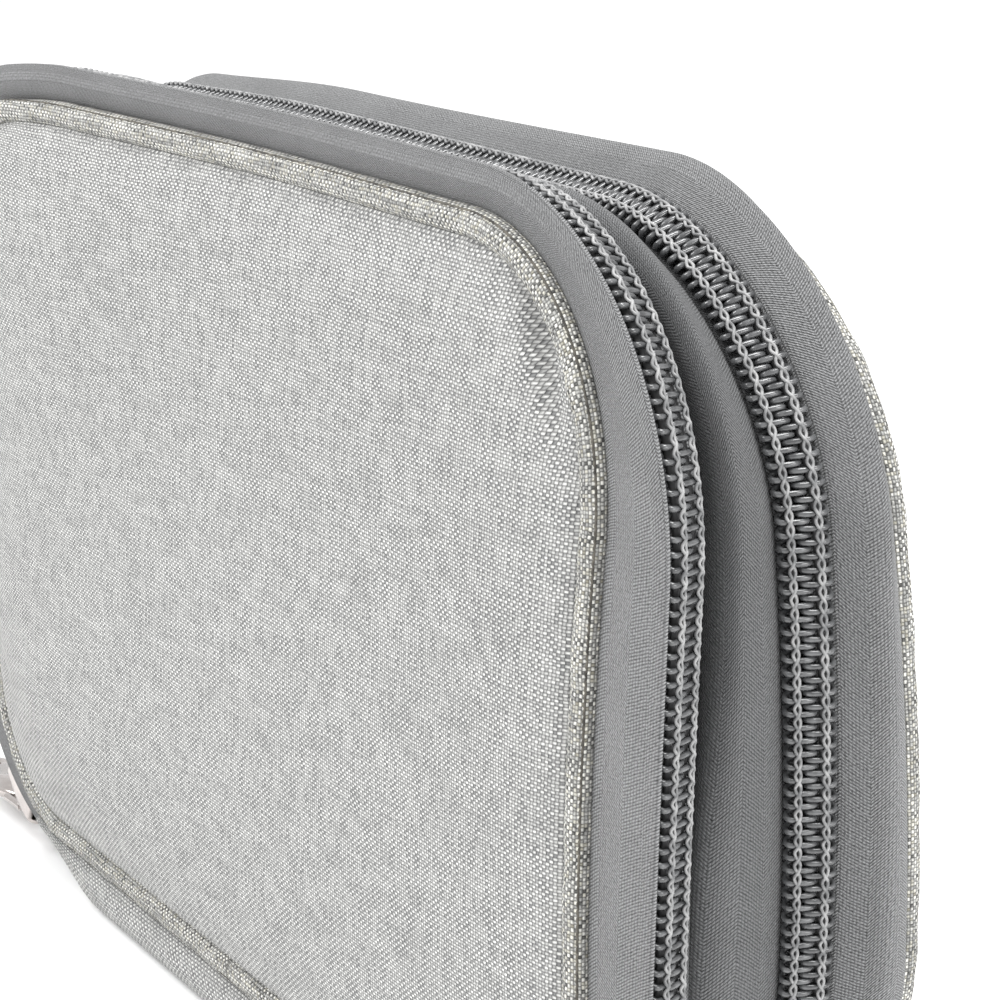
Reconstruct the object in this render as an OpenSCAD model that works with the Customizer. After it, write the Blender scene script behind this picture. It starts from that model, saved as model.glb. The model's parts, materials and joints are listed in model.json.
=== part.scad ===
// Double-layer cable organizer pouch that stands upright on its spine.
// X runs along the long side, Y from the front to the back, Z up.
// The origin is the centre of the base, on the surface the pouch stands on.

/* [Panels] */
// Width of each panel over its welt
panel_w = 170; // [150:1:220]
// Height of each panel over its welt
panel_h = 108.8; // [96:0.4:140]
// Radius of the upper panel corners
top_r = 30; // [24:1:34]
// Radius of the lower panel corners
foot_r = 29; // [24:1:31]
// Width of the welt sewn round each panel
welt_w = 3.2; // [2.4:0.1:4.5]
// Height of the crown on the outside of each panel
crown = 3; // [1.5:0.5:5]
// Thickness of the outer fabric
skin_t = 0.9; // [0.6:0.1:1.2]

/* [Stance] */
// Distance between the two welts at the base
base_depth = 40.4; // [38:0.4:46]
// Distance between the two welts at the top
top_depth = 27.8; // [25:0.4:31]
// Height of the welts above the surface below the pouch
lift = 7.6; // [7:0.1:9]

/* [Zips] */
// Width of the closed zip chain
chain_w = 5.8; // [5:0.1:6.4]
// Height of the coil above its tape
coil_t = 2.4; // [1.8:0.1:2.8]
// How far the chain stands outside the welt at the sides
chain_side = 7.2; // [6:0.2:8]
// How far the chain stands outside the welt along the top
chain_top = 3; // [2:0.5:5]
// Thickness of the woven tape
tape_t = 0.8; // [0.5:0.1:1]
// Length of a zip slider along its chain
slider_l = 11; // [9:0.5:13]
// Length of a slider's pull
pull_l = 24; // [18:1:30]

/* [Inside] */
// Thickness of the stiff board in the divider
board_t = 1.6; // [1:0.1:2]
// Width of each elastic webbing loop
webbing_w = 20; // [15:1:25]
// Number of loops along each band of webbing
loops = 5; // [3:1:7]

/* [Hidden] */
$fn = 96;
HULL_FN = 32;

// Each plane is [Y at its foot, Y at the top of the panels].
FRONT_WELT = [-base_depth / 2, -base_depth / 2 + 0.335 * (base_depth - top_depth)];
BACK_WELT = [base_depth / 2, FRONT_WELT[1] + top_depth];
FRONT_ZIP = [FRONT_WELT[0] + 4.4, FRONT_WELT[1] + 3.8];
BACK_ZIP = [BACK_WELT[0] - 15.2, BACK_WELT[1] - 10.8];
divider_y = -5.5;
DIVIDER = [divider_y, divider_y];

// Layers of a lid, measured from the plane of its welt
welt_t = 3.2;
foam_in = 1.2;
lining_t = 0.5;
layer_gap = 0.05;
lining_in = foam_in + layer_gap + lining_t;
cloth_t = 0.6;

// The closed chain's two coil halves stand either side of a gap that the slider's web runs in.
chain_gap = 1.4;
chain_foot = 1.5;
tape_in = 1;
tape_clear = 0.3;
tape_out = chain_side - tape_clear;
tail_top = foot_r + 7;
chain_end_angle = 77;

// Sewn stops: how far past the chain's end they start, and how much of the arc they take
stop_gap = 1.5;
stop_span = 5;

// Centre and radius of the arc that the left end of each chain follows
arc_r = foot_r + (chain_side + chain_foot) / 2;
arc_x = -(panel_w / 2 + chain_side - arc_r);
arc_z = arc_r - chain_foot;
park_angle = 62;

// A slider's section: distances outwards from the foot of the coil, and half widths
play = 0.35;
web_half = 0.35;
plate_t = 1.1;
plate_half = chain_w / 2 + play + 1;
plate_u = coil_t + play;
under_half = 1.3;
bridge_h = 3.6;
bridge_l = slider_l - 4.4;
bridge_half = 0.9;
bridge_wall = 1;
bridge_sunk = 0.3;
pin_r = 0.7;
pin_u = plate_u + plate_t + 1.5;
pull_half = 3.4;
pull_t = 1.3;
pull_rise = 60;

// A plane that leans with the given foot and top, its own origin at the foot of the panels
module on_plane(p) {
    translate([0, p[0], lift])
        rotate([-atan2(p[1] - p[0], panel_h), 0, 0])
            children();
}

// Fittings inside: the upper edge of each pocket and the foot of each band of loops
front_pocket_top = 62;
mesh_pocket_top = 68;
divider_pocket_foot = 8;
divider_pocket_top = 58;
pocket_inset = 9;
divider_pocket_inset = 10;
pocket_stand = 1.2;
seam_w = 2.5;
binding_inset = 12;
binding_w = 5;
binding_t = 1.6;
low_loops_z = 24;
high_loops_z = 66;
back_loops_z = 76;
low_loops_inset = 14;
high_loops_inset = 18;
loop_rise = 1.8;
loop_wall = 1.5;

// Rounded outline of a panel, grown sideways by us, upwards by ut and downwards by ub
module outline(us = 0, ut = 0, ub = 0) {
    half = panel_w / 2 + us;
    low = -ub;
    high = panel_h + ut;
    rt = top_r + (us + ut) / 2;
    rb = foot_r + (us + ub) / 2;
    translate([-half, low + rb])
        square([2 * half, high - rt - low - rb]);
    translate([-half + rt, high - rt - 0.01])
        square([2 * (half - rt), rt + 0.01]);
    translate([-half + rb, low])
        square([2 * (half - rb), rb + 0.01]);
    for (s = [-1, 1]) {
        translate([s * (half - rt), high - rt])
            circle(rt);
        translate([s * (half - rb), low + rb])
            circle(rb);
    }
}

// A flat plate of the outline between two depths
module slab(us, ut, ub, y0, y1) {
    translate([0, y1, 0])
        rotate([90, 0, 0])
            linear_extrude(y1 - y0)
                outline(us, ut, ub);
}

// A ring of the outline between two depths, w wide
module ring(us, ut, ub, w, y0, y1) {
    translate([0, y1, 0])
        rotate([90, 0, 0])
            linear_extrude(y1 - y0)
                difference() {
                    outline(us, ut, ub);
                    outline(us - w, ut - w, ub - w);
                }
}

// Keeps what lies between two heights of a plane
module between(z0, z1) {
    intersection() {
        children();
        translate([-panel_w, -panel_w / 2, z0])
            cube([2 * panel_w, panel_w, z1 - z0]);
    }
}

// Crowned form of a panel: side is -1 for the front and 1 for the back, lower is how far it is set in
module crowned(side, lower, base_y) {
    steps = [[0, 0], [6, 0.5], [20, 0.88], [40, 1]];
    hull()
        for (s = steps) {
            u = -welt_w - layer_gap - lower - s[0];
            y = side * (base_y + crown * s[1]);
            slab(u, u, u, min(y, y - side * 0.1), max(y, y - side * 0.1), $fn = HULL_FN);
        }
}

module panel_fabric(side) {
    difference() {
        crowned(side, 0, skin_t);
        crowned(side, skin_t, 0);
        slab(-welt_w - skin_t - 0.5, -welt_w - skin_t - 0.5, -welt_w - skin_t - 0.5,
             side > 0 ? -5 : 0, side > 0 ? 0 : 5);
    }
}

module panel_foam(side) {
    u = -welt_w - layer_gap - skin_t - 0.3;
    crowned(side, skin_t + 0.3, -0.15);
    slab(u, u, u, side > 0 ? -foam_in : -0.1, side > 0 ? 0.1 : foam_in);
}

module panel_lining(side) {
    u = -welt_w - layer_gap;
    inner = foam_in + layer_gap;
    slab(u, u, u, side > 0 ? -lining_in : inner, side > 0 ? -inner : lining_in);
}

module welt() {
    ring(0, 0, 0, welt_w, -welt_t / 2, welt_t / 2);
}

// Pocket sheet that lies on a lid's lining, open along its upper edge
module pocket_sheet(side, height) {
    inset = pocket_inset;
    y0 = lining_in + pocket_stand;
    between(inset, height)
        slab(-inset, -inset, -inset, side > 0 ? -y0 - cloth_t : y0, side > 0 ? -y0 : y0 + cloth_t);
}

// Seam that joins the pocket sheet to the lining along its sides and foot
module pocket_seam(side, height) {
    inset = pocket_inset;
    y0 = lining_in + layer_gap;
    y1 = lining_in + pocket_stand;
    between(inset, height)
        ring(-inset, -inset, -inset, seam_w, side > 0 ? -y1 : y0, side > 0 ? -y0 : y1);
}

module pocket_binding(side, height) {
    reach = panel_w / 2 - binding_inset;
    y0 = lining_in + pocket_stand - 0.3;
    translate([-reach, side > 0 ? -y0 - binding_t : y0, height + layer_gap])
        cube([2 * reach, binding_t, binding_w]);
}

// One coil half: side is the direction in Y from the chain's centre
module coil_half(side) {
    y0 = chain_gap / 2;
    y1 = chain_w / 2;
    ring(chain_side + coil_t, chain_top + coil_t, chain_foot + coil_t, coil_t,
         side > 0 ? y0 : -y1, side > 0 ? y1 : -y0);
}

// The flat of the tape beside one coil half
module tape_flange(y0, y1) {
    difference() {
        slab(tape_out, chain_top - tape_clear, chain_foot - tape_clear, y0, y1);
        slab(-tape_in, -tape_in, -tape_in, y0 - 1, y1 + 1);
    }
}

// Lower end of a chain: keeps the part of each arc above the stops
module above_stops() {
    stop_z = arc_z - arc_r * sin(chain_end_angle);
    between(stop_z, panel_h + 20)
        children();
}

// Back outer tape: a sloping band from the back welt out to the back chain
module sloping_tape(lower, upper) {
    difference() {
        hull() {
            on_plane(BACK_WELT)
                slab(0, 0, 0, -welt_t / 2 - 0.3, -welt_t / 2 - 0.05, $fn = HULL_FN);
            on_plane(BACK_ZIP)
                slab(tape_out, chain_top - tape_clear, chain_foot - tape_clear, 2.1, 2.4, $fn = HULL_FN);
        }
        hull() {
            on_plane(BACK_WELT)
                slab(-tape_t, -tape_t, -tape_t, -welt_t / 2 - 0.3, 1, $fn = HULL_FN);
            on_plane(BACK_ZIP)
                slab(tape_out - tape_t, chain_top - 0.1 - tape_t, chain_foot - 0.1 - tape_t, 1, 2.4,
                     $fn = HULL_FN);
        }
        on_plane(BACK_ZIP)
            translate([-panel_w, -20, -20])
                cube([2 * panel_w, 60, lower + 20]);
        on_plane(BACK_ZIP)
            translate([-panel_w, -20, upper])
                cube([2 * panel_w, 60, panel_h]);
    }
}

// --- Front lid ---

module front_panel_fabric() {
    color("#a9a9a7") on_plane(FRONT_WELT) panel_fabric(-1);
}

module front_panel_foam() {
    color("#e8e4d8") on_plane(FRONT_WELT) panel_foam(-1);
}

module front_panel_lining() {
    color("#6c6d70") on_plane(FRONT_WELT) panel_lining(-1);
}

module front_welt() {
    color("#b5b4ae") on_plane(FRONT_WELT) welt();
}

module front_outer_tape() {
    y0 = welt_t / 2 + layer_gap;
    color("#7d7e80")
        on_plane(FRONT_WELT)
            between(tail_top + 0.2, panel_h + 20)
                tape_flange(y0, y0 + 0.6);
}

module front_outer_coil() {
    color("#8c8d8f")
        on_plane(FRONT_ZIP)
            between(tail_top + 0.2, panel_h + 20)
                coil_half(-1);
}

module front_lid_pocket() {
    color("#5c5d60")
        on_plane(FRONT_WELT) {
            pocket_sheet(-1, front_pocket_top);
            pocket_seam(-1, front_pocket_top);
        }
}

module front_lid_pocket_binding() {
    color("#303134") on_plane(FRONT_WELT) pocket_binding(-1, front_pocket_top);
}

// --- Back lid ---

module back_panel_fabric() {
    color("#a9a9a7") on_plane(BACK_WELT) panel_fabric(1);
}

module back_panel_foam() {
    color("#e8e4d8") on_plane(BACK_WELT) panel_foam(1);
}

module back_panel_lining() {
    color("#6c6d70") on_plane(BACK_WELT) panel_lining(1);
}

module back_welt() {
    color("#b5b4ae") on_plane(BACK_WELT) welt();
}

module back_outer_tape() {
    color("#7d7e80") sloping_tape(tail_top + 0.2, panel_h + 20);
}

module back_outer_coil() {
    color("#8c8d8f")
        on_plane(BACK_ZIP)
            between(tail_top + 0.2, panel_h + 20)
                coil_half(1);
}

module back_lid_mesh_pocket() {
    color("#3c3d40")
        on_plane(BACK_WELT) {
            pocket_sheet(1, mesh_pocket_top);
            pocket_seam(1, mesh_pocket_top);
        }
}

module back_lid_pocket_binding() {
    color("#303134") on_plane(BACK_WELT) pocket_binding(1, mesh_pocket_top);
}

// --- Divider and spine ---

module divider_sheet(u, y0, y1, foot) {
    on_plane(DIVIDER)
        between(foot, panel_h)
            slab(u, u, u, y0, y1);
}

module divider_board() {
    color("#d9d6cc") divider_sheet(-3, -board_t / 2, board_t / 2, -1.2);
}

module divider_front_lining() {
    y = board_t / 2 + layer_gap;
    color("#6c6d70") divider_sheet(-3, -y - lining_t, -y, -1.2);
}

module divider_back_lining() {
    y = board_t / 2 + layer_gap;
    color("#6c6d70") divider_sheet(-3, y, y + lining_t, -1.2);
}

// Floor of the valley between the two chains, sewn to the divider's edge
module divider_binding() {
    color("#6a6b6d")
        difference() {
            on_plane(DIVIDER)
                between(tail_top, panel_h)
                    ring(-tape_in - 0.1, -tape_in - 0.1, -tape_in - 0.1, 1.8, -12, 12);
            on_plane(FRONT_ZIP)
                translate([-panel_w, -40, -20])
                    cube([2 * panel_w, 40 + 2.7, 2 * panel_h]);
            on_plane(BACK_ZIP)
                translate([-panel_w, -2.7, -20])
                    cube([2 * panel_w, 60, 2 * panel_h]);
        }
}

spine_x = panel_w / 2 - foot_r;
spine_y = base_depth / 2 - welt_t / 2 - 0.4;

module spine_panel() {
    color("#8f8f8e")
        translate([-spine_x, -spine_y, 0])
            cube([2 * spine_x, 2 * spine_y, 1]);
}

module spine_board() {
    color("#d9d6cc")
        translate([-spine_x + 1, -spine_y + 1, 1 + layer_gap])
            cube([2 * spine_x - 2, 2 * spine_y - 2, 1.6]);
}

// Cloth that closes the two lower corners between the welts, inside the ends of the zips
module corner_gussets() {
    u = -tape_in - 0.1;
    clear = welt_t / 2 + 0.35;
    color("#7a7b7d")
        difference() {
            on_plane(DIVIDER)
                between(0.2, tail_top - 0.2)
                    ring(u, u, u, 1.6, -base_depth / 2, base_depth);
            translate([-spine_x, -base_depth, 0])
                cube([2 * spine_x, 2 * base_depth, lift + 7]);
            on_plane(FRONT_WELT)
                translate([-panel_w, clear - base_depth, -10])
                    cube([2 * panel_w, base_depth, panel_h]);
            on_plane(BACK_WELT)
                translate([-panel_w, -clear, -10])
                    cube([2 * panel_w, base_depth, panel_h]);
        }
}

// --- Zips ---

module front_inner_tape() {
    color("#77787a")
        on_plane(FRONT_ZIP)
            above_stops()
                tape_flange(2, 2 + 0.6);
}

module front_inner_coil() {
    color("#8c8d8f") on_plane(FRONT_ZIP) above_stops() coil_half(1);
}

module front_tail_tape() {
    y0 = welt_t / 2 + 0.35;
    color("#7d7e80")
        on_plane(FRONT_WELT)
            between(0, tail_top - 0.2)
                above_stops()
                    tape_flange(y0, y0 + 0.5);
}

module front_tail_coil() {
    color("#8c8d8f")
        on_plane(FRONT_ZIP)
            between(0, tail_top - 0.2)
                above_stops()
                    coil_half(-1);
}

module back_inner_tape() {
    color("#77787a")
        on_plane(BACK_ZIP)
            above_stops()
                tape_flange(-2 - 0.6, -2);
}

module back_inner_coil() {
    color("#8c8d8f") on_plane(BACK_ZIP) above_stops() coil_half(-1);
}

module back_tail_tape() {
    stop_z = arc_z - arc_r * sin(chain_end_angle);
    color("#7d7e80")
        difference() {
            sloping_tape(stop_z, tail_top - 0.2);
            on_plane(BACK_WELT)
                translate([-panel_w, -welt_t / 2 - 0.4, -20])
                    cube([2 * panel_w, 20, 2 * panel_h]);
        }
}

module back_tail_coil() {
    color("#8c8d8f")
        on_plane(BACK_ZIP)
            between(0, tail_top - 0.2)
                above_stops()
                    coil_half(1);
}

// A sewn stop across the two coil halves at each end of a chain
module zip_stops() {
    for (s = [-1, 1])
        scale([s, 1, 1])
            translate([arc_x, 0, arc_z])
                rotate([90, 0, 0])
                    rotate([0, 0, 180 + chain_end_angle + stop_gap])
                        translate([0, 0, -chain_w / 2])
                            rotate_extrude(angle = stop_span)
                                translate([arc_r - layer_gap, 0])
                                    square([coil_t + 0.4, chain_w]);
}

module front_zip_stops() {
    color("#6a6b6d") on_plane(FRONT_ZIP) zip_stops();
}

module back_zip_stops() {
    color("#6a6b6d") on_plane(BACK_ZIP) zip_stops();
}

// --- Inside ---

// A band of webbing sewn down between its loops, on the side of the divider given by side
module webbing_loops(side, z, reach) {
    y0 = board_t / 2 + layer_gap + lining_t + layer_gap;
    pitch = 2 * reach / loops;
    on_plane(DIVIDER)
        translate([0, 0, z])
            scale([1, side, 1])
                for (i = [0 : loops - 1])
                    translate([-reach + pitch * i, y0, 0])
                        difference() {
                            cube([pitch, loop_rise, webbing_w]);
                            translate([loop_wall, -1, -1])
                                cube([pitch - 2 * loop_wall, loop_rise - cloth_t + 1, webbing_w + 2]);
                        }
}

module front_elastic_loops() {
    color("#2f3033") {
        webbing_loops(-1, low_loops_z, panel_w / 2 - low_loops_inset);
        webbing_loops(-1, high_loops_z, panel_w / 2 - high_loops_inset);
    }
}

module back_elastic_loops() {
    color("#2f3033") webbing_loops(1, back_loops_z, panel_w / 2 - high_loops_inset);
}

module back_divider_pocket() {
    y0 = board_t / 2 + 2 * layer_gap + lining_t;
    inset = divider_pocket_inset;
    color("#5c5d60")
        on_plane(DIVIDER)
            between(divider_pocket_foot, divider_pocket_top) {
                slab(-inset, -inset, -divider_pocket_foot, y0 + pocket_stand, y0 + pocket_stand + cloth_t);
                ring(-inset, -inset, -divider_pocket_foot, seam_w, y0, y0 + pocket_stand);
            }
}

module back_divider_pocket_binding() {
    y0 = board_t / 2 + 2 * layer_gap + lining_t;
    reach = panel_w / 2 - binding_inset;
    color("#303134")
        on_plane(DIVIDER)
            translate([-reach, y0 + pocket_stand - 0.4, divider_pocket_top + layer_gap])
                cube([2 * reach, binding_t, binding_w]);
}

// --- Sliders ---

// Turns a section drawn in (distance from the arc's centre, Y) into a piece centred on its parked place
module on_arc(length) {
    span = length / arc_r * 180 / PI;
    translate([arc_x, 0, arc_z])
        rotate([90, 0, 0])
            rotate([0, 0, 180 + park_angle - span / 2])
                rotate_extrude(angle = span)
                    children();
}

module slider() {
    on_arc(slider_l) {
        translate([arc_r + plate_u, -plate_half])
            square([plate_t, 2 * plate_half]);
        for (s = [-1, 1])
            translate([arc_r + 0.5, s * (plate_half - 0.5) - 0.5])
                square([plate_u - 0.5, 1]);
        translate([arc_r - play - 1, -web_half])
            square([plate_u + play + 1, 2 * web_half]);
        translate([arc_r - play - 1, -under_half])
            square([1, 2 * under_half]);
    }
    difference() {
        on_arc(bridge_l)
            translate([arc_r + plate_u + plate_t - bridge_sunk, -bridge_half])
                square([bridge_h + bridge_sunk, 2 * bridge_half]);
        on_arc(bridge_l - 2 * bridge_wall)
            translate([arc_r + plate_u + plate_t + 0.5, -bridge_half - 1])
                square([bridge_h - bridge_wall - 0.5, 2 * bridge_half + 2]);
    }
}

// Places children at the pull's pin, X pointing out along the pull
module at_pin() {
    translate([arc_x, 0, arc_z])
        rotate([0, -park_angle, 0])
            translate([-(arc_r + pin_u), 0, 0])
                rotate([0, pull_rise, 0])
                    mirror([1, 0, 0])
                        children();
}

module pull() {
    at_pin() {
        rotate([90, 0, 0])
            cylinder(h = 2 * pull_half, r = pin_r, center = true);
        for (s = [-1, 1])
            translate([-pin_r, s * (pull_half - 0.5) - 0.5, -pull_t / 2])
                cube([6, 1, pull_t]);
        difference() {
            translate([5, -pull_half, -pull_t / 2])
                cube([pull_l - 5 - pull_half, 2 * pull_half, pull_t]);
            translate([pull_l - pull_half - 2, 0, 0])
                cylinder(h = 4, r = 1.8, center = true);
        }
        translate([pull_l - pull_half, 0, 0])
            intersection() {
                cylinder(h = pull_t, r = pull_half, center = true);
                translate([0, -pull_half, -pull_t])
                    cube([pull_half, 2 * pull_half, 2 * pull_t]);
            }
    }
}

module front_slider() {
    color("#c9c7c4") on_plane(FRONT_ZIP) slider();
}

module front_pull() {
    color("#c9c7c4") on_plane(FRONT_ZIP) pull();
}

module back_slider() {
    color("#c9c7c4") on_plane(BACK_ZIP) slider();
}

module back_pull() {
    color("#c9c7c4") on_plane(BACK_ZIP) pull();
}

front_panel_fabric();
front_panel_foam();
front_panel_lining();
front_welt();
front_outer_tape();
front_outer_coil();
front_lid_pocket();
front_lid_pocket_binding();
back_panel_fabric();
back_panel_foam();
back_panel_lining();
back_welt();
back_outer_tape();
back_outer_coil();
back_lid_mesh_pocket();
back_lid_pocket_binding();
divider_board();
divider_front_lining();
divider_back_lining();
divider_binding();
spine_panel();
spine_board();
corner_gussets();
front_inner_tape();
front_inner_coil();
front_tail_tape();
front_tail_coil();
front_zip_stops();
back_inner_tape();
back_inner_coil();
back_tail_tape();
back_tail_coil();
back_zip_stops();
front_elastic_loops();
back_elastic_loops();
back_divider_pocket();
back_divider_pocket_binding();
front_slider();
front_pull();
back_slider();
back_pull();
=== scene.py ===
"""Looks of a double-layer cable organizer pouch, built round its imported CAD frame.

Lengths in this script are millimetres until a mesh is made, and the frame is in metres.
X runs along the long side, Y from the front to the back, Z up.
"""

import json
import math

import bpy
import numpy as np
from mathutils import Matrix, Vector


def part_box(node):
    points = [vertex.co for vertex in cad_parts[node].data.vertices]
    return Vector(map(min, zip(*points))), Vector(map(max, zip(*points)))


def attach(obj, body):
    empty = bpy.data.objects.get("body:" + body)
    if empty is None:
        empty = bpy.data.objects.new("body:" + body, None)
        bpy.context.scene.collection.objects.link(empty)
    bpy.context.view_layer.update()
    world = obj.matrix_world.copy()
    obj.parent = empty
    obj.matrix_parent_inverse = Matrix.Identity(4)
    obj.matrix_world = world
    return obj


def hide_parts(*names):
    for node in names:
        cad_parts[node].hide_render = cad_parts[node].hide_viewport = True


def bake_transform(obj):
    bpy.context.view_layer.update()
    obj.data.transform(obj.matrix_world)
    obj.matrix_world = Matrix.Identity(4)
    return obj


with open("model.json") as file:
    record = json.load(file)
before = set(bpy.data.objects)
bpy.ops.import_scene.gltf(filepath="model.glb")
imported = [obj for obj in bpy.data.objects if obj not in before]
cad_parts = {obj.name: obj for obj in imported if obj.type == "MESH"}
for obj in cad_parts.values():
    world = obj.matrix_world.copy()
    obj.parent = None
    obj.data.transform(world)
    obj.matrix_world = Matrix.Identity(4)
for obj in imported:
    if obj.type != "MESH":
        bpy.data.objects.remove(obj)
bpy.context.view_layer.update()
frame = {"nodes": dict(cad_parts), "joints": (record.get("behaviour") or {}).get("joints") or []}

MM = 0.001

# --- Driving dimensions, from the frame ---


def box_mm(node):
    """Lowest and highest corner of a CAD node, in millimetres."""
    low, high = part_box(node)
    return np.array(low) / MM, np.array(high) / MM


def joint(name):
    """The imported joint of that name."""
    return next(j for j in frame["joints"] if j["name"] == name)


HALF = box_mm("front_welt")[1][0]
LIFT = joint("front_lid_hinge")["pos_m"][2] / MM
HEIGHT = 108.8
TOP_R = 30.0
FOOT_R = 29.0
FRONT_LEAN = 4.22
TOP_GAP = 27.8

# Each plane is (Y at its foot, Y at the top of the panels)
front_hinge_y = joint("front_lid_hinge")["pos_m"][1] / MM
back_hinge_y = joint("back_lid_hinge")["pos_m"][1] / MM
FRONT_WELT = (front_hinge_y, front_hinge_y + FRONT_LEAN)
BACK_WELT = (back_hinge_y, FRONT_WELT[1] + TOP_GAP)
FRONT_ZIP = (FRONT_WELT[0] + 4.4, FRONT_WELT[1] + 3.8)
BACK_ZIP = (BACK_WELT[0] - 15.2, BACK_WELT[1] - 10.8)
DIVIDER_Y = -5.5

# How far the soft sides bow out at half their height
FRONT_BOW = -3.85
BACK_BOW = 5.6

# How far the upper left corner of the front lid leans forwards and out
SWAY_FORWARDS = 6.0
SWAY_OUT = 4.0

# How far its welt rises there, and how far the zip behind it and the back lid sag
SWAY_UP = 2.2
SWAY_SAG = 4.6
BACK_SAG = 2.4

# The zips
PITCH = 1.45
WIRE_R = 0.34
HEAD_REACH = 0.5
COIL_HALF_T = 1.0
CHAIN_HALF = 2.9
TAPE_T = 0.45
CHAIN_START = 1.0 + 13 / 90
CHAIN_END = 9.0 - CHAIN_START
PARKED_TO = 2.05
PARKED_FADE = 0.85
FRONT_CHAIN = dict(u=(7.3, 3.3, 3.7), bow=-0.5, y=FRONT_ZIP, park=9.4, tilt=22.0)
BACK_CHAIN = dict(u=(0.6, 0.2, 3.7), bow=5.0, y=BACK_ZIP, park=9.4, tilt=-23.0)


# --- Camera ---


def make_camera():
    """A camera at the viewing angle: in front of the right-hand side, a little above the top."""
    azimuth, elevation, roll = (math.radians(a) for a in (58.9, 15.6, -0.22))
    back = Vector((
        math.sin(azimuth) * math.cos(elevation),
        -math.cos(azimuth) * math.cos(elevation),
        math.sin(elevation),
    ))
    right = Vector((0, 0, 1)).cross(back).normalized()
    up = back.cross(right)
    turned_right = right * math.cos(roll) + up * math.sin(roll)
    turned_up = up * math.cos(roll) - right * math.sin(roll)
    data = bpy.data.cameras.new("camera")
    data.lens = 103.24
    data.sensor_width = 36
    data.shift_x = -0.0031
    data.shift_y = 0.0024
    data.clip_start = 0.01
    data.clip_end = 50
    camera = bpy.data.objects.new("camera", data)
    target = Vector((84.5, -2.1, 82.5))
    distance, to_left, rise = 291.1, 24.1, 6.6
    place = (target + back * distance - right * to_left + up * rise) * MM
    axes = Matrix((turned_right, turned_up, back)).transposed().to_4x4()
    camera.matrix_world = Matrix.Translation(place) @ axes
    bpy.context.scene.collection.objects.link(camera)
    bpy.context.scene.camera = camera


make_camera()


# --- Outline and rails ---


def smooth(x, low, high):
    """0 below low, 1 above high, smooth between."""
    f = np.clip((np.asarray(x, float) - low) / (high - low), 0, 1)
    return f * f * (3 - 2 * f)


def outline(t, side, top, foot):
    """Rounded outline of a panel, grown by side, top and foot.

    t runs from 0 at the middle of the foot, round by the left, the top and the right, to 9.
    Gives X, Z above the foot of the panels, and the outward normal's X and Z.
    """
    half = HALF + side
    high = HEIGHT + top
    rt = TOP_R + (side + top) / 2
    rb = FOOT_R + (side + foot) / 2
    low = -foot
    part = np.minimum(t.astype(int), 8)
    f = t - part
    start = np.radians(np.array([270, 270, 180, 180, 90, 90, 0, 0, 270])[part])
    turn = np.where(part % 2 == 1, np.radians(90) * f, 0)
    angle = start - turn
    nx = np.cos(angle)
    nz = np.sin(angle)
    cx = np.choose(part, [
        (rb - half) * f, rb - half, rb - half, rt - half, (rt - half) * (1 - 2 * f),
        half - rt, half - rt, half - rb, (half - rb) * (1 - f),
    ])
    cz = np.choose(part, [
        low + rb, low + rb, low + rb + (high - rt - low - rb) * f, high - rt, high - rt,
        high - rt, high - rt + (low + rb - high + rt) * f, low + rb, low + rb,
    ])
    radius = np.where((part >= 3) & (part <= 5), rt, rb)
    radius = np.where(part == 2, rb + (rt - rb) * f, radius)
    radius = np.where(part == 6, rt + (rb - rt) * f, radius)
    cx = np.where(part == 2, -half + radius, cx)
    cx = np.where(part == 6, half - radius, cx)
    return cx + radius * nx, cz + radius * nz, nx, nz


def bowed(x, z, bow):
    """X moved out by bow at half height, and by nothing at the foot and the top."""
    f = np.clip(z / HEIGHT, 0, 1)
    return x + np.sign(x) * bow * 4 * f * (1 - f) * smooth(np.abs(x), 15, 55)


def parked(t):
    """1 round the lower left corner, where the sliders run, and 0 elsewhere."""
    return 1 - smooth(t, PARKED_TO, PARKED_TO + PARKED_FADE)


def rail(t, u, bow, y, park=None):
    """A line round the pouch: u is how far it stands out at the sides, the top and the foot.

    park is how far it stands out at the side near the parked slider, where it doesn't bow.
    """
    x, z, _, _ = outline(t, *u)
    x = bowed(x, z, bow)
    if park is not None:
        px, pz, _, _ = outline(t, park, u[1], u[2])
        w = parked(t)
        x = x + (px - x) * w
        z = z + (pz - z) * w
    return np.stack([x, y[0] + (y[1] - y[0]) * z / HEIGHT, z + LIFT], 1)


def both(plane, shift):
    """A plane moved in Y."""
    return (plane[0] + shift, plane[1] + shift)


class Chain:
    """Places on a closed zip: across is towards the back, out is away from the pouch."""

    def __init__(self, t, u, bow, y, park, tilt):
        _, _, nx, nz = outline(t, u[0], u[1], u[2])
        still = parked(t)
        lean = np.radians(tilt) * (1 - still) * (1 - smooth(t, 6.9, 7.6))
        normal = np.stack([nx, 0 * nx, nz], 1)
        along_y = np.array([[0.0, 1.0, 0.0]])
        self.out = normal * np.cos(lean)[:, None] + along_y * np.sin(lean)[:, None]
        self.across = along_y * np.cos(lean)[:, None] - normal * np.sin(lean)[:, None]
        self.still = still
        self.middle = rail(t, u, bow, y, park) - self.out * COIL_HALF_T

    def at(self, across, out, park_out=None):
        """The line across and out from the middle of the coils."""
        if park_out is None:
            park_out = out
        depth = out + (park_out - out) * self.still
        return self.middle + self.across * across + self.out * depth[:, None]


# --- Meshes ---


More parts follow.
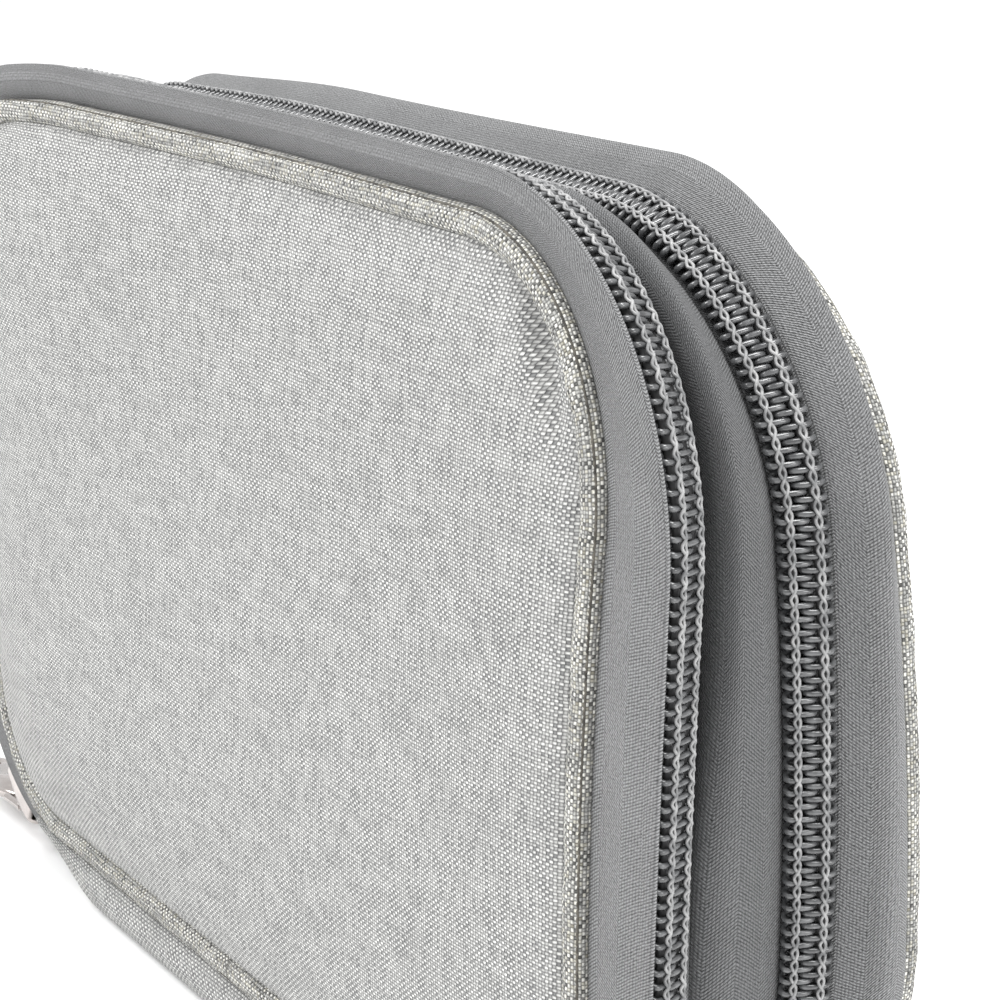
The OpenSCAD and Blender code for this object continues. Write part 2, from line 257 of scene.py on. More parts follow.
def swayed(points):
    """The front lid leans forwards and out at its upper left corner, where its zip and the back lid sag."""
    x, y, z = points[:, 0], points[:, 1], points[:, 2]
    front = smooth(-y, 7, 17)
    forwards = SWAY_FORWARDS * smooth(-x, -20, 75) * smooth(z, 50, 114) * front
    outwards = SWAY_OUT * smooth(-x, 35, 80) * smooth(z, 60, 108) * front
    corner = smooth(-x, 42, 80) * smooth(z, 60, 108)
    zip_band = smooth(-y, 5, 10) * (1 - smooth(-y, 15, 19))
    upwards = corner * (SWAY_UP * smooth(-y, 17, 20) - SWAY_SAG * zip_band)
    upwards = upwards - BACK_SAG * smooth(-x, 15, 70) * smooth(z, 60, 108) * smooth(y, -3, 6)
    return np.stack([x - outwards, y - forwards, z + upwards], 1)


def make_piece(name, points, faces, material, weave=None):
    """A mesh object from points in millimetres. weave gives each point's place on the cloth, in metres."""
    mesh = bpy.data.meshes.new(name)
    mesh.from_pydata((swayed(np.asarray(points, float)) * MM).tolist(), [], faces)
    mesh.update()
    if weave is not None:
        loops = np.empty(len(mesh.loops), int)
        mesh.loops.foreach_get("vertex_index", loops)
        layer = mesh.uv_layers.new(name="weave")
        layer.data.foreach_set("uv", np.asarray(weave, float)[loops].astype(np.float32).ravel())
    mesh.polygons.foreach_set("use_smooth", [True] * len(mesh.polygons))
    mesh.materials.append(material)
    piece = bpy.data.objects.new(name, mesh)
    bpy.context.scene.collection.objects.link(piece)
    return piece


def grid_faces(rows, columns, start=0, close_rows=False, close_columns=False, flip=False):
    """Quads between the points of a grid that is stored row by row."""
    r = np.arange(rows if close_rows else rows - 1)[:, None]
    c = np.arange(columns if close_columns else columns - 1)[None, :]
    r2 = (r + 1) % rows
    c2 = (c + 1) % columns
    quads = np.stack([r * columns + c, r * columns + c2, r2 * columns + c2, r2 * columns + c], -1)
    quads = quads.reshape(-1, 4) + start
    if flip:
        quads = quads[:, ::-1]
    return quads.tolist()


def spline(lines, steps):
    """Lines across a sheet, with steps lines between each pair of the given ones, on a smooth curve."""
    lines = np.array(lines)
    ends = np.concatenate([[2 * lines[0] - lines[1]], lines, [2 * lines[-1] - lines[-2]]])
    result = []
    for i in range(1, len(ends) - 2):
        a, b, c, d = ends[i - 1], ends[i], ends[i + 1], ends[i + 2]
        for f in np.arange(steps) / steps:
            result.append(0.5 * (
                2 * b + (c - a) * f + (2 * a - 5 * b + 4 * c - d) * f ** 2
                + (3 * b - a - 3 * c + d) * f ** 3
            ))
    result.append(lines[-1])
    return np.array(result)


def unit(v):
    return v / np.maximum(np.linalg.norm(v, axis=-1, keepdims=True), 1e-9)


def grid_normals(grid):
    """Normals of a grid of points, from its neighbours."""
    return unit(np.cross(np.gradient(grid, axis=1), np.gradient(grid, axis=0)))


def cloth_places(grid):
    """Each point's place on the flat cloth in metres: along the strip, then across it."""
    middle = grid[len(grid) // 2]
    steps = np.linalg.norm(np.diff(middle, axis=0), axis=1)
    along = np.concatenate([[0], np.cumsum(steps)]) * MM
    widths = np.linalg.norm(np.diff(grid, axis=0), axis=2).mean(1)
    across = np.concatenate([[0], np.cumsum(widths)]) * MM
    return np.stack(np.broadcast_arrays(along[None, :], across[:, None]), -1)


def sheet_piece(name, grid, thickness, material):
    """A sheet of cloth through a grid of points, with its real thickness and its edges closed."""
    rows, columns = grid.shape[:2]
    normals = grid_normals(grid) * thickness / 2
    places = cloth_places(grid).reshape(-1, 2)
    count = rows * columns
    points = np.concatenate([(grid + normals).reshape(-1, 3), (grid - normals).reshape(-1, 3)])
    faces = grid_faces(rows, columns)
    faces += grid_faces(rows, columns, count, flip=True)
    index = np.arange(count).reshape(rows, columns)
    for edge in (index[0], index[-1][::-1], index[::-1, 0], index[:, -1]):
        for a, b in zip(edge[:-1], edge[1:]):
            faces.append([int(b), int(a), int(a) + count, int(b) + count])
    return make_piece(name, points, faces, material, np.concatenate([places, places]))


def tube_points(path, normal, across, radius):
    """Rings of points round a path."""
    sides = 7
    angle = np.arange(sides) * 2 * math.pi / sides
    return (
        path[:, None]
        + normal[:, None] * (np.cos(angle) * radius)[None, :, None]
        + across[:, None] * (np.sin(angle) * radius)[None, :, None]
    )


def tube(path, radius, closed=False):
    """Points and faces of a round tube along a path, its ends closed."""
    if closed:
        tangent = unit(np.roll(path, -1, 0) - np.roll(path, 1, 0))
    else:
        tangent = unit(np.gradient(path, axis=0))
    helper = np.zeros_like(tangent)
    helper[:, 1] = 1
    helper[np.abs(tangent[:, 1]) > 0.8] = (1, 0, 0)
    normal = unit(np.cross(tangent, helper))
    for i in range(1, len(normal)):
        level = normal[i - 1] - tangent[i] * (normal[i - 1] @ tangent[i])
        normal[i] = level / np.linalg.norm(level)
    rings = tube_points(path, normal, np.cross(tangent, normal), radius)
    count, sides = rings.shape[:2]
    faces = grid_faces(count, sides, close_columns=True, close_rows=closed)
    if not closed:
        faces.append(list(range(sides))[::-1])
        faces.append(list(range((count - 1) * sides, count * sides)))
    return rings.reshape(-1, 3), faces


def merged(parts):
    """Points and faces of several closed parts, as one list of each."""
    points, faces, start = [], [], 0
    for part_points, part_faces in parts:
        points.append(part_points)
        faces += [[i + start for i in face] for face in part_faces]
        start += len(part_points)
    return np.concatenate(points), faces


def tubes_piece(name, paths, radius, material, closed=False):
    """One mesh of several tubes."""
    points, faces = merged([tube(path, radius, closed) for path in paths])
    return make_piece(name, points, faces, material)


def lofted(name, lines, material):
    """A solid through lines that go all the way round its section, its two ends closed."""
    grid = np.array(lines)
    rows, columns = grid.shape[:2]
    index = np.arange(rows * columns).reshape(rows, columns)
    faces = grid_faces(rows, columns, close_rows=True)
    faces.append(index[:, 0].tolist())
    faces.append(index[::-1, -1].tolist())
    return make_piece(name, grid.reshape(-1, 3), faces, material, cloth_places(grid).reshape(-1, 2))


# --- Materials ---


class Nodes:
    """Short calls for building a material's nodes."""

    def __init__(self, name):
        self.material = bpy.data.materials.new(name)
        self.material.use_nodes = True
        self.tree = self.material.node_tree
        self.shader = self.tree.nodes["Principled BSDF"]

    def add(self, kind, **settings):
        node = self.tree.nodes.new(kind)
        for key, value in settings.items():
            setattr(node, key, value)
        return node

    def put(self, socket, value):
        if isinstance(value, bpy.types.NodeSocket):
            self.tree.links.new(value, socket)
        else:
            socket.default_value = value

    def math(self, operation, a, b=0.0, c=0.0):
        node = self.add("ShaderNodeMath", operation=operation)
        for socket, value in zip(node.inputs, (a, b, c)):
            self.put(socket, value)
        return node.outputs[0]

    def place(self, layer="weave"):
        """X and Y on the cloth, in millimetres."""
        node = self.add("ShaderNodeUVMap", uv_map=layer)
        parts = self.add("ShaderNodeSeparateXYZ")
        self.put(parts.inputs[0], node.outputs[0])
        return self.math("MULTIPLY", parts.outputs[0], 1000), self.math("MULTIPLY", parts.outputs[1], 1000)

    def noise(self, x, y, z=0.0, scale=1.0, detail=2.0, rough=0.5):
        where = self.add("ShaderNodeCombineXYZ")
        for socket, value in zip(where.inputs, (x, y, z)):
            self.put(socket, value)
        node = self.add("ShaderNodeTexNoise")
        self.put(node.inputs["Vector"], where.outputs[0])
        self.put(node.inputs["Scale"], scale)
        self.put(node.inputs["Detail"], detail)
        self.put(node.inputs["Roughness"], rough)
        return node.outputs["Fac"]

    def object_noise(self, scale, detail=2.0):
        coordinates = self.add("ShaderNodeTexCoord")
        node = self.add("ShaderNodeTexNoise")
        self.put(node.inputs["Vector"], coordinates.outputs["Object"])
        self.put(node.inputs["Scale"], scale)
        self.put(node.inputs["Detail"], detail)
        return node.outputs["Fac"]

    def ramp(self, value, stops):
        node = self.add("ShaderNodeValToRGB")
        elements = node.color_ramp.elements
        while len(elements) < len(stops):
            elements.new(0.5)
        for element, (position, colour) in zip(elements, stops):
            element.position = position
            element.color = (*colour, 1)
        self.put(node.inputs[0], value)
        return node.outputs[0]

    def mix(self, factor, a, b):
        node = self.add("ShaderNodeMix", data_type="RGBA")
        self.put(node.inputs[0], factor)
        self.put(node.inputs[6], a if isinstance(a, bpy.types.NodeSocket) else (*a, 1))
        self.put(node.inputs[7], b if isinstance(b, bpy.types.NodeSocket) else (*b, 1))
        return node.outputs[2]

    def blend(self, factor, a, b):
        """A number that goes from a to b."""
        node = self.add("ShaderNodeMix", data_type="FLOAT")
        for socket, value in zip((node.inputs[0], node.inputs[2], node.inputs[3]), (factor, a, b)):
            self.put(socket, value)
        return node.outputs[0]

    def times(self, colour, value):
        """A colour made darker or lighter by a value."""
        node = self.add("ShaderNodeMix", data_type="RGBA", blend_type="MULTIPLY")
        self.put(node.inputs[0], 1.0)
        self.put(node.inputs[6], colour if isinstance(colour, bpy.types.NodeSocket) else (*colour, 1))
        self.put(node.inputs[7], value)
        return node.outputs[2]

    def bump(self, height, distance, strength=1.0):
        node = self.add("ShaderNodeBump")
        self.put(node.inputs["Height"], height)
        self.put(node.inputs["Distance"], distance)
        self.put(node.inputs["Strength"], strength)
        self.put(self.shader.inputs["Normal"], node.outputs[0])

    def finish(self, colour, roughness, metallic=0.0, sheen=0.0, specular=0.5, coat=0.0):
        self.put(self.shader.inputs["Base Color"], colour)
        self.put(self.shader.inputs["Roughness"], roughness)
        self.shader.inputs["Metallic"].default_value = metallic
        self.shader.inputs["Sheen Weight"].default_value = sheen
        self.shader.inputs["Specular IOR Level"].default_value = specular
        self.shader.inputs["Coat Weight"].default_value = coat
        return self.material


def plain_weave(name, pitch, warp, weft, streak, cream=0.0):
    """Melange plain weave: pale threads across and darker ones up and down, of changing tone."""
    n = Nodes(name)
    x, y = n.place()
    wobble = n.math("MULTIPLY", n.math("SUBTRACT", n.noise(x, y, scale=0.35), 0.5), pitch[1] * 0.9)
    gx = n.math("DIVIDE", n.math("ADD", x, wobble), pitch[0])
    gy = n.math("DIVIDE", n.math("ADD", y, wobble), pitch[1])
    column, row = n.math("FLOOR", gx), n.math("FLOOR", gy)
    fx = n.math("SUBTRACT", n.math("FRACT", gx), 0.5)
    fy = n.math("SUBTRACT", n.math("FRACT", gy), 0.5)
    over = n.math("MODULO", n.math("ADD", n.math("ADD", column, row), 40000), 2.0)
    round_x = n.math("COSINE", n.math("MULTIPLY", fx, 3.0))
    round_y = n.math("COSINE", n.math("MULTIPLY", fy, 3.0))
    long_x = n.math("COSINE", n.math("MULTIPLY", fx, 2.2))
    long_y = n.math("COSINE", n.math("MULTIPLY", fy, 2.2))
    height = n.blend(over, n.math("MULTIPLY", round_x, long_y), n.math("MULTIPLY", round_y, long_x))
    warp_tone = n.noise(n.math("MULTIPLY", column, 5.3), n.math("MULTIPLY", y, 0.3), 3.0, detail=1.0)
    weft_tone = n.noise(n.math("MULTIPLY", x, 0.16), n.math("MULTIPLY", row, 5.3), 9.0, detail=1.0)
    grain = n.math("MULTIPLY", n.math("SUBTRACT", n.noise(x, y, 5.0, scale=3.0, detail=1.0), 0.5), 0.5)
    warp_colour = n.ramp(n.math("ADD", warp_tone, grain), [(0.36, warp[0]), (0.64, warp[1])])
    weft_stops = [(0.5 - streak, weft[0]), (0.5 + streak, weft[1])]
    weft_colour = n.ramp(n.math("ADD", weft_tone, grain), weft_stops)
    colour = n.mix(over, warp_colour, weft_colour)
    if cream:
        warm = n.noise(n.math("MULTIPLY", column, 7.7), n.math("MULTIPLY", row, 7.7), 2.0)
        share = n.math("MULTIPLY", n.math("GREATER_THAN", warm, 0.56), cream)
        colour = n.mix(share, colour, (0.66, 0.62, 0.48))
    # Painted shade: the colour darkens where the weave dips, in the gaps between the threads
    shade = n.math("MULTIPLY_ADD", n.math("POWER", n.math("MAXIMUM", height, 0.0), 0.8), 0.92, 0.14)
    n.bump(height, pitch[1] * MM * 0.5, 0.9)
    return n.finish(n.times(colour, shade), 0.85, sheen=0.12, specular=0.25)


def herringbone(name, colour, pitch=0.4, column=3.1):
    """Zip tape: diagonal rows of small knit-like stitches that turn back at each column."""
    n = Nodes(name)
    x, y = n.place()
    drift = n.math("MULTIPLY", n.math("SUBTRACT", n.noise(x, y, 1.0, scale=0.6), 0.5), 0.35)
    fold = n.math("ADD", n.math("PINGPONG", y, column), drift)
    slant = n.math("DIVIDE", n.math("MULTIPLY_ADD", fold, 0.75, x), pitch)
    rib = n.math("MULTIPLY_ADD", n.math("SINE", n.math("MULTIPLY", slant, 2 * math.pi)), 0.5, 0.5)
    thread = n.math("DIVIDE", y, 0.36)
    cord = n.math("ABSOLUTE", n.math("SINE", n.math("MULTIPLY", thread, math.pi)))
    height = n.math("MULTIPLY", n.math("POWER", rib, 0.7), n.math("MULTIPLY_ADD", cord, 0.6, 0.4))
    fuzz = n.math("MULTIPLY", n.math("SUBTRACT", n.noise(x, y, scale=3.2, detail=2.0), 0.5), 1.3)
    height = n.math("ADD", height, fuzz)
    broad = n.noise(x, y, 3.0, scale=0.12, detail=2.0)
    # Painted shade: the colour darkens in the grooves between the stitch rows and threads; the broad noise
    # is a random change of tone
    shade = n.math("MULTIPLY_ADD", height, 1.15, n.math("MULTIPLY_ADD", broad, 0.3, 0.2))
    n.bump(height, 0.00022, 0.9)
    return n.finish(n.times(colour, shade), 0.75, sheen=0.15, specular=0.35)


def plain_cloth(name, colour, thread, sheen=0.1):
    """Fine even cloth, such as a lining or a binding."""
    n = Nodes(name)
    x, y = n.place()
    a = n.math("SINE", n.math("MULTIPLY", x, 2 * math.pi / thread))
    b = n.math("SINE", n.math("MULTIPLY", y, 2 * math.pi / thread))
    height = n.math("MULTIPLY_ADD", n.math("MULTIPLY", a, b), 0.5, 0.5)
    fuzz = n.noise(x, y, scale=1.5, detail=3.0)
    # Painted shade: the colour darkens where the threads dip, with random fuzz in the tone
    shade = n.math("ADD", n.math("MULTIPLY", height, 0.3), n.math("MULTIPLY_ADD", fuzz, 0.5, 0.6))
    n.bump(height, thread * MM * 0.3, 0.6)
    return n.finish(n.times(colour, shade), 0.75, sheen=sheen, specular=0.3)


def ribbed(name, colour, rib):
    """Elastic webbing, with ribs across its length."""
    n = Nodes(name)
    x, y = n.place()
    height = n.math("ABSOLUTE", n.math("SINE", n.math("MULTIPLY", x, math.pi / rib)))
    cords = n.math("MULTIPLY_ADD", n.math("SINE", n.math("MULTIPLY", y, 2 * math.pi / 0.9)), 0.5, 0.5)
    fuzz = n.noise(x, y, scale=2.0)
    # Painted shade: the colour darkens in the grooves between the ribs, with random fuzz in the tone
    shade = n.math("ADD", n.math("MULTIPLY", height, 0.5), n.math("MULTIPLY_ADD", fuzz, 0.5, 0.45))
    n.bump(n.math("ADD", height, n.math("MULTIPLY", cords, 0.4)), 0.00022, 0.8)
    return n.finish(n.times(colour, shade), 0.7, sheen=0.1, specular=0.35)


def netting(name, colour, hole=1.7):
    """Knitted mesh: rows of staggered dark holes between lighter threads."""
    n = Nodes(name)
    x, y = n.place()
    row = n.math("FLOOR", n.math("DIVIDE", y, hole * 0.87))
    shift = n.math("MULTIPLY", n.math("MODULO", n.math("ADD", row, 1000), 2.0), 0.5)
    fx = n.math("SUBTRACT", n.math("FRACT", n.math("ADD", n.math("DIVIDE", x, hole), shift)), 0.5)
    fy = n.math("SUBTRACT", n.math("FRACT", n.math("DIVIDE", y, hole * 0.87)), 0.5)
    far = n.math("SQRT", n.math("ADD", n.math("MULTIPLY", fx, fx), n.math("MULTIPLY", fy, fy)))
    solid = n.math("GREATER_THAN", far, 0.3)
    knit = n.noise(x, y, scale=3.0)
    n.put(n.shader.inputs["Alpha"], n.math("MAXIMUM", solid, 0.12))
    n.bump(n.math("MULTIPLY", far, 2.0), 0.0003, 0.8)
    return n.finish(n.times(colour, n.math("MULTIPLY_ADD", knit, 0.8, 0.6)), 0.6, sheen=0.2, specular=0.4)


def nylon(name, dark, light, rough):
    """Glossy coil wire, or the slightly fuzzy thread that holds it down."""
    n = Nodes(name)
    spots = n.object_noise(900.0)
    colour = n.ramp(spots, [(0.35, dark), (0.65, light)])
    n.bump(n.object_noise(3000.0, 1.0), 0.00004, 0.4)
    return n.finish(colour, rough, specular=0.6, coat=0.25 if rough < 0.4 else 0.0)


def metal(name, colour):
    """Nickel plated die casting with fine wear."""
    n = Nodes(name)
    wear = n.object_noise(400.0, 4.0)
    shade = n.ramp(wear, [(0.3, tuple(c * 0.82 for c in colour)), (0.7, colour)])
    n.bump(n.object_noise(1500.0, 2.0), 0.00002, 0.3)
    return n.finish(shade, n.math("MULTIPLY_ADD", wear, 0.2, 0.12), metallic=1.0)


def foam_or_board(name, dark, light, scale, depth):
    """Closed-cell foam, or pressed board."""
    n = Nodes(name)
    cells = n.object_noise(scale, 4.0)
    n.bump(cells, depth, 0.8)
    return n.finish(n.ramp(cells, [(0.35, dark), (0.65, light)]), 0.9, specular=0.2)


MELANGE = plain_weave(
    "melange_fabric",
    pitch=(0.5, 0.38),
    warp=((0.2, 0.202, 0.202), (0.44, 0.44, 0.43)),
    weft=((0.47, 0.47, 0.46), (0.74, 0.74, 0.72)),
    streak=0.2,
)
WELT_CLOTH = plain_weave(
    "welt_fabric",
    pitch=(0.42, 0.42),
    warp=((0.08, 0.08, 0.075), (0.44, 0.44, 0.42)),
    weft=((0.32, 0.32, 0.31), (0.84, 0.83, 0.78)),
    streak=0.14,
    cream=0.3,
)
TAPE = herringbone("zip_tape", (0.185, 0.187, 0.19), pitch=0.36)
# Painted shade: the inner tapes are the same zip tape, given a darker colour for the shade of the valley
# they lie in
SHADED_INNER_TAPE = herringbone("shaded_inner_zip_tape", (0.105, 0.107, 0.11), pitch=0.42)
COIL = nylon("zip_coil", (0.045, 0.046, 0.048), (0.1, 0.102, 0.105), 0.14)
STITCH = nylon("stitching", (0.12, 0.122, 0.125), (0.3, 0.3, 0.3), 0.5)
# Painted shade: a dark tube stands for the shade in the groove along each welt
GROOVE_SHADE_MATERIAL = nylon("painted_groove_shade", (0.03, 0.028, 0.024), (0.12, 0.11, 0.09), 0.8)
TAPE_CORD = nylon("filler_cord", (0.03, 0.03, 0.031), (0.06, 0.06, 0.062), 0.7)
METAL = metal("slider_metal", (0.52, 0.48, 0.46))
LINING = plain_cloth("lining", (0.12, 0.122, 0.128), 0.35)
BINDING = plain_cloth("binding", (0.1, 0.102, 0.105), 0.5)
NETTING = netting("mesh", (0.03, 0.03, 0.032))
ELASTIC = ribbed("elastic", (0.035, 0.035, 0.038), 0.7)
FOAM = foam_or_board("foam", (0.62, 0.6, 0.55), (0.8, 0.78, 0.72), 700.0, 0.0002)
BOARD = foam_or_board("board", (0.45, 0.42, 0.36), (0.62, 0.6, 0.54), 120.0, 0.00005)


# --- Welts ---

LOOP_STEP = 1 / 90

# How far out from the panels' outline, and away from the pouch, of a strip WELT_SECTION_T thick
WELT_SECTION_T = 2.9
WELT_SECTION = (
    (-3.3, -0.9), (-3.25, 0.2), (-3.05, 0.75), (-2.6, 1.15), (-1.9, 1.4), (-1.2, 1.35),
    (-0.55, 1.1), (-0.12, 0.6), (0.05, 0.0), (-0.1, -0.75), (-0.7, -1.3), (-1.8, -1.45), (-2.8, -1.3),
)
# A dark tube of painted shade in the groove near a welt's outer edge: how far in from the outline it lies,
# how far it stands out from the panel's plane, and its radius
SHADE_TUBE_INSET = 0.3
SHADE_TUBE_STANDS = 0.78
SHADE_TUBE_R = 0.15


def loop_places(step=LOOP_STEP):
    """Places all the way round, without the last one, which is the first."""
    return np.arange(0, 9, step)


def welt(name, plane, bow, side, thickness):
    """The folded strip round a panel. side is -1 at the front and 1 at the back."""
    t = loop_places()
    lines = []
    for u, depth in WELT_SECTION:
        y = side * depth * thickness / WELT_SECTION_T
        lines.append(rail(t, (u, u, u), bow, both(plane, y)))
    grid = np.array(lines)
    rng = np.random.default_rng(5)
    wave = sum(
        np.sin(t * k * 2 * math.pi / 9 + rng.uniform(0, 6)) * 0.05 for k in (31, 47, 73)
    )
    grid[3:7, :, 1] += side * wave
    rows, columns = grid.shape[:2]
    faces = grid_faces(rows, columns, close_rows=True, close_columns=True, flip=side > 0)
    places = cloth_places(grid).reshape(-1, 2)
    return make_piece(name, grid.reshape(-1, 3), faces, WELT_CLOTH, places)


def welt_shade_tube(name, plane, bow, side):
    """A dark tube of painted shade, in the groove along the outer edge of a welt."""
    t = loop_places(LOOP_STEP / 2)
    path = rail(t, (-SHADE_TUBE_INSET,) * 3, bow, both(plane, side * SHADE_TUBE_STANDS))
    path[:, 1] += side * 0.07 * np.sin(np.arange(len(t)) * 2.1)
    return tubes_piece(name, [path], SHADE_TUBE_R, GROOVE_SHADE_MATERIAL, closed=True)


# --- Covers ---

# Each crease: X and Z of its middle, angle in degrees, how far it runs and spreads, and its depth
CREASES = (
    (71.0, 98.3, -50, 13.0, 1.2, 1.75),
    (73.5, 93.8, -56, 11.0, 1.1, 1.3),
    (66.5, 99.8, -40, 9.0, 1.7, 0.5),
    (-71.0, 97.8, 50, 12.0, 1.6, 0.7),
    (-74.0, 20.0, -48, 10.0, 1.8, 0.5),
    (73.0, 16.0, 46, 10.0, 1.8, 0.5),
)

# How far inwards each ring of a cover lies, close together beside the welt
INSETS = (
    3.0, 3.25, 3.5, 3.9, 4.4, 5.0, 5.6, 6.2, 6.9, 7.6, 8.4,
    9.3, 10.2, 11.2, 12.3, 13.5, 15, 17, 19, 21.5, 24, 26.5,
)

# The rings then shrink, in equal steps, to a level line across the middle of the cover, which
# counts as this much further from the welt
MIDDLE_STEPS = 14
MIDDLE_HALF = HALF - 58
MIDDLE_INSET = 27


def cover_height(d):
    """How far a padded cover stands above the welt's plane, d inwards from the welt."""
    return 0.35 + 0.75 * (1 - np.exp(-d / 0.8)) + 2.9 * (1 - np.exp(-d / 9.0))


def creases(x, z, d):
    """Soft hollows where the cloth is drawn in beside the welt, deepest at the upper corners."""
    hollow = np.zeros_like(x)
    for cx, cz, angle, length, width, depth in CREASES:
        a = math.radians(angle)
        along = (x - cx) * math.cos(a) + (z - cz) * math.sin(a)
        off = (z - cz) * math.cos(a) - (x - cx) * math.sin(a)
        hollow += depth * np.exp(-(along / length) ** 2 * 2 - (off / width) ** 2)
    rng = np.random.default_rng(3)
    for _ in range(14):
        k = rng.uniform(0.03, 0.11, 2) * rng.choice([-1, 1], 2)
        hollow += 0.055 * np.sin(x * k[0] + z * k[1] + rng.uniform(0, 6)) * np.minimum(d / 8, 1)
    return hollow


def cover(name, plane, bow, side):
    """The padded outer cover of a lid: rings from the welt inwards, then its middle."""
    t = loop_places(1 / 60)
    rings = []
    for d in INSETS:
        x, z, _, _ = outline(t, -d, -d, -d)
        rings.append(np.stack([x, z, 0 * x + d - INSETS[0]], 1))
    inner = rings[-1]
    for i in range(1, MIDDLE_STEPS + 1):
        f = i / MIDDLE_STEPS
        ring = inner.copy()
        ring[:, 0] = inner[:, 0] * (1 - f) + np.clip(inner[:, 0], -MIDDLE_HALF, MIDDLE_HALF) * f
        ring[:, 1] = inner[:, 1] * (1 - f) + HEIGHT / 2 * f
        ring[:, 2] += f * MIDDLE_INSET
        rings.append(ring)
    grid = np.array(rings)
    x, z, d = grid[..., 0], grid[..., 1], grid[..., 2]
    h = cover_height(d) - creases(x * -side, z, d)
    y = plane[0] + (plane[1] - plane[0]) * z / HEIGHT + side * h
    f = np.clip(z / HEIGHT, 0, 1)
    bowed_x = x + x / HALF * bow * 4 * f * (1 - f) * np.abs(x / HALF)
    points = np.stack([bowed_x, y, z + LIFT], -1)
    rows, columns = points.shape[:2]
    faces = grid_faces(rows, columns, close_columns=True, flip=side > 0)
    places = np.stack([x, z], -1).reshape(-1, 2) * MM
    return make_piece(name, points.reshape(-1, 3), faces, MELANGE, places)


# --- Tapes ---


def front_outer_tape(t, chain):
    """From under the front welt, out to a soft crest beside the front coils, then under them."""
    start = rail(t, (-1.2, -1.2, -1.2), FRONT_BOW, both(FRONT_WELT, 1.5))
    edge = rail(t, (0.1, 0.1, 0.05), FRONT_BOW, both(FRONT_WELT, 0.6))
    crest = chain.at(-4.2, 0.95, -1.25)
    low = edge + (crest - edge) * 0.3
    high = edge + (crest - edge) * 0.68
    puff = smooth(t, 2.9, 3.4)[:, None] * (1 - smooth(t, 7.0, 7.6))[:, None]
    low = low - [[0, 0.25, 0]] * puff
    high = high - [[0, 0.35, 0]] * puff
    return [
        start, edge, low, high, crest,
        chain.at(-3.75, -0.6, -1.3), chain.at(-3.1, -1.3), chain.at(-0.5, -1.25),
    ]


def front_inner_tape(t, chain):
    """From under the front coils down into the valley."""
    return [
        chain.at(0.5, -1.25), chain.at(2.5, -1.2), chain.at(3.2, -0.85, -1.2), chain.at(3.5, -1.9),
        rail(t, (1.4, -0.9, 0.0), 0.0, (-9.6, -8.9)),
        rail(t, (-3.0, -3.0, -2.0), 0.0, (-6.1, -6.1)),
    ]


def back_inner_tape(t, chain):
    """The soft roll between the valley and the back coils."""
    gap = smooth(t, 4.7, 5.5) * (1 - smooth(t, 6.15, 6.8))
    wall = rail(t, (-1.5, -2.4, -1.0), 1.0, (-8.6, -7.6))
    wall[:, 1] += gap * 1.8
    shoulder = rail(t, (-0.8, -0.9, 0.5), 3.6, (-8.9, -8.1))
    shoulder[:, 1] += gap * 2.2
    crest = rail(t, (0.3, 0.8, 1.4), 3.9, (-4.6, -4.8), park=4.0)
    return [
        rail(t, (-3.6, -3.6, -2.4), 0.0, (-5.3, -5.3)), wall, shoulder, crest,
        chain.at(-3.4, -0.35, -1.2), chain.at(-2.7, -1.2), chain.at(-0.5, -1.25),
    ]


def back_outer_tape(t, chain):
    """From under the back coils, over a crest that is highest at the upper right, to the welt."""
    corner = 1.5 * np.exp(-((t - 5.25) / 0.55) ** 2)
    return [
        chain.at(0.5, -1.25), chain.at(2.5, -1.25), chain.at(3.4, -0.5, -1.3),
        rail(t, (4.0 + corner, 2.3 + corner, 2.2), 5.0, (12.6, 8.0), park=4.6),
        rail(t, (2.4 + corner, 1.7 + corner, 1.2), 5.5, both(BACK_WELT, -3.1), park=2.2),
        rail(t, (0.2, 0.1, 0.1), BACK_BOW, both(BACK_WELT, -1.5)),
        rail(t, (-1.2, -1.2, -1.2), BACK_BOW, both(BACK_WELT, -1.9)),
    ]


# --- Coils ---

THREAD_R = 0.18
STITCH_ACROSS = 1.5
CORD_R = 0.42
CORD_ACROSS = 1.35


def along(chain, places):
    """The chain's middle, out and across directions at distances along it."""
    lengths = np.linalg.norm(np.diff(chain.middle, axis=0), axis=1)
    far = np.concatenate([[0], np.cumsum(lengths)])

    def at(values):
        return np.stack([np.interp(places, far, values[:, i]) for i in range(3)], 1)

    return at(chain.middle), unit(at(chain.out)), unit(at(chain.across))


def chain_length(chain):
    return np.linalg.norm(np.diff(chain.middle, axis=0), axis=1).sum()


def coil_half(name, chain, side, material):
    """One half of the coils. Its legs on top lie straight across, and it steps on underneath."""
    per_turn = 24
    turns = int(chain_length(chain) / PITCH) - 1
    phase = np.arange(turns * per_turn) / per_turn * 2 * math.pi
    step = (phase - math.pi) / (2 * math.pi)
    part = smooth((step - np.floor(step)) * 2 / 1.3, 0, 1)
    offset = 1.25 if side > 0 else 0.75
    places = (np.floor(step) + part + offset) * PITCH
    middle, out, across = along(chain, places)
    c, s = np.cos(phase), np.sin(phase)
    reach = (CHAIN_HALF - WIRE_R + HEAD_REACH) / 2
    centre = (CHAIN_HALF - WIRE_R - HEAD_REACH) / 2
    w = centre + reach * np.sign(c) * np.abs(c) ** 0.75
    n = (COIL_HALF_T - WIRE_R) * np.sign(s) * np.abs(s) ** 0.6
    path = middle + across * (side * w)[:, None] + out * n[:, None]
    return tubes_piece(name, [path], WIRE_R, material)


